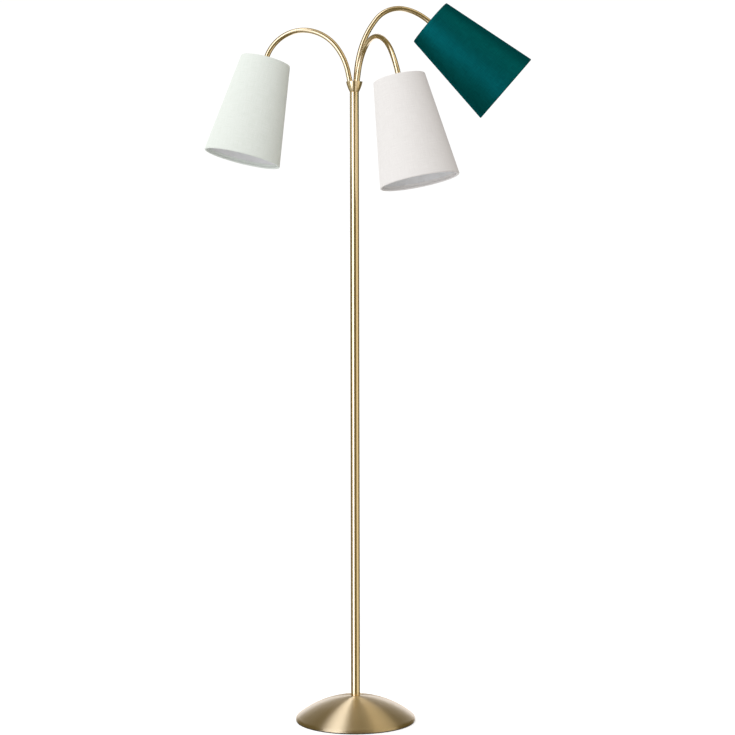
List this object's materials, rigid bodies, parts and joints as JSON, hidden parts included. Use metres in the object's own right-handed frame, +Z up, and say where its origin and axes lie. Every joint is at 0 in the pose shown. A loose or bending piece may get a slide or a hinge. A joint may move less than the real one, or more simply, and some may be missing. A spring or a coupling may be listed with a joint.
{
  "type": "tree floor lamp",
  "caption": "Standing lamp with a domed brass base, slim pole and flexible arms, each carrying a tapered cloth shade that can be bent and turned.",
  "frame": {"origin": "on the floor under the middle of the base, on the pole's axis", "axes": "+Z up along the pole, -Y towards the viewer of the picture, +X to their right"},
  "size_m": [0.6787, 0.3845, 1.4959],
  "materials": {
    "foam_pad": "matte foam rubber",
    "brass_plate": "spun and polished, lacquered",
    "brass_tube": "polished, lacquered",
    "brass_neck": "fine-wound flexible tube, polished",
    "contact_brass": "pressed, plain",
    "iron": "painted black",
    "zinc_steel": "zinc plated",
    "black_plastic": "moulded, matt",
    "lead_sheath": "smooth sheath",
    "white_wire": "powder coated white",
    "opal_bulb": "opal, satin",
    "mint_cloth": "fine weave over a stiff lining",
    "white_cloth": "fine weave over a stiff lining",
    "teal_cloth": "fine satin weave over a stiff lining"
  },
  "bodies": {
    "stand": {"base_pad": "foam_pad", "base_dome": "brass_plate", "base_weight": "iron", "base_washer": "zinc_steel", "base_hex_nut": "zinc_steel", "base_nipple": "zinc_steel", "base_spacer": "zinc_steel", "cord_bushing": "black_plastic", "pole_lower": "brass_tube", "pole_middle": "brass_tube", "pole_upper": "brass_tube", "coupler_lower": "zinc_steel", "coupler_upper": "zinc_steel", "pole_foot_bush": "zinc_steel", "pole_top_bush": "zinc_steel", "arm_collar": "brass_tube", "collar_nipple": "zinc_steel", "arm_plate": "brass_tube", "pole_lead": "lead_sheath", "left_neck_1": "brass_neck", "front_neck_1": "brass_neck", "right_neck_1": "brass_neck"},
    "left_lower_arm": {"left_neck_2": "brass_neck"},
    "left_upper_arm": {"left_neck_3": "brass_neck"},
    "left_crown": {"left_neck_4": "brass_neck"},
    "left_head": {"left_neck_5": "brass_neck", "left_lampholder_cap": "brass_plate", "left_lampholder_body": "black_plastic", "left_lampholder_insert": "contact_brass", "left_shade_ring": "black_plastic", "left_shade_spider": "white_wire", "left_shade": "mint_cloth", "left_shade_bottom_ring": "white_wire", "left_bulb": "opal_bulb"},
    "front_lower_arm": {"front_neck_2": "brass_neck"},
    "front_upper_arm": {"front_neck_3": "brass_neck"},
    "front_crown": {"front_neck_4": "brass_neck"},
    "front_head": {"front_neck_5": "brass_neck", "front_lampholder_cap": "brass_plate", "front_lampholder_body": "black_plastic", "front_lampholder_insert": "contact_brass", "front_shade_ring": "black_plastic", "front_shade_spider": "white_wire", "front_shade": "white_cloth", "front_shade_bottom_ring": "white_wire", "front_bulb": "opal_bulb"},
    "right_lower_arm": {"right_neck_2": "brass_neck"},
    "right_upper_arm": {"right_neck_3": "brass_neck"},
    "right_crown": {"right_neck_4": "brass_neck"},
    "right_head": {"right_neck_5": "brass_neck", "right_lampholder_cap": "brass_plate", "right_lampholder_body": "black_plastic", "right_lampholder_insert": "contact_brass", "right_shade_ring": "black_plastic", "right_shade_spider": "white_wire", "right_shade": "teal_cloth", "right_shade_bottom_ring": "white_wire", "right_bulb": "opal_bulb"}
  },
  "joints": [
    {"name": "left_swing", "type": "hinge", "parent": "stand", "child": "left_lower_arm", "pos_m": [-0.01291, -0.00228, 1.34943], "axis": [-0.2048, -0.0361, 0.9781], "range_deg": [-40, 40]},
    {"name": "left_low_bend", "type": "hinge", "parent": "left_lower_arm", "child": "left_upper_arm", "pos_m": [-0.03737, 0.00008, 1.40262], "axis": [-0.1908, -0.9816, 0], "range_deg": [-25, 20]},
    {"name": "left_crown_bend", "type": "hinge", "parent": "left_upper_arm", "child": "left_crown", "pos_m": [-0.08767, 0.00985, 1.43536], "axis": [0.1908, 0.9816, 0], "range_deg": [-20, 25]},
    {"name": "left_head_bend", "type": "hinge", "parent": "left_crown", "child": "left_head", "pos_m": [-0.14656, 0.0213, 1.42662], "axis": [-0.1908, -0.9816, 0], "range_deg": [-25, 25]},
    {"name": "front_swing", "type": "hinge", "parent": "stand", "child": "front_lower_arm", "pos_m": [0.00842, -0.01004, 1.34943], "axis": [0.1336, -0.1593, 0.9781], "range_deg": [-40, 35]},
    {"name": "front_low_bend", "type": "hinge", "parent": "front_lower_arm", "child": "front_upper_arm", "pos_m": [0.02365, -0.03658, 1.39863], "axis": [0.891, 0.454, 0], "range_deg": [-25, 20]},
    {"name": "front_crown_bend", "type": "hinge", "parent": "front_upper_arm", "child": "front_crown", "pos_m": [0.05024, -0.08876, 1.41102], "axis": [-0.891, -0.454, 0], "range_deg": [-20, 25]},
    {"name": "front_head_bend", "type": "hinge", "parent": "front_crown", "child": "front_head", "pos_m": [0.07366, -0.13473, 1.37825], "axis": [0.891, 0.454, 0], "range_deg": [-25, 25]},
    {"name": "right_swing", "type": "hinge", "parent": "stand", "child": "right_lower_arm", "pos_m": [0.00448, 0.01231, 1.34943], "axis": [0.0711, 0.1954, 0.9781], "range_deg": [-40, 40]},
    {"name": "right_low_bend", "type": "hinge", "parent": "right_lower_arm", "child": "right_upper_arm", "pos_m": [0.0161, 0.01966, 1.40674], "axis": [-0.1305, 0.9914, 0], "range_deg": [-25, 20]},
    {"name": "right_crown_bend", "type": "hinge", "parent": "right_upper_arm", "child": "right_crown", "pos_m": [0.04535, 0.02351, 1.46092], "axis": [0.1305, -0.9914, 0], "range_deg": [-20, 25]},
    {"name": "right_head_bend", "type": "hinge", "parent": "right_crown", "child": "right_head", "pos_m": [0.09944, 0.03063, 1.48387], "axis": [-0.1305, 0.9914, 0], "range_deg": [-25, 25]}
  ]
}
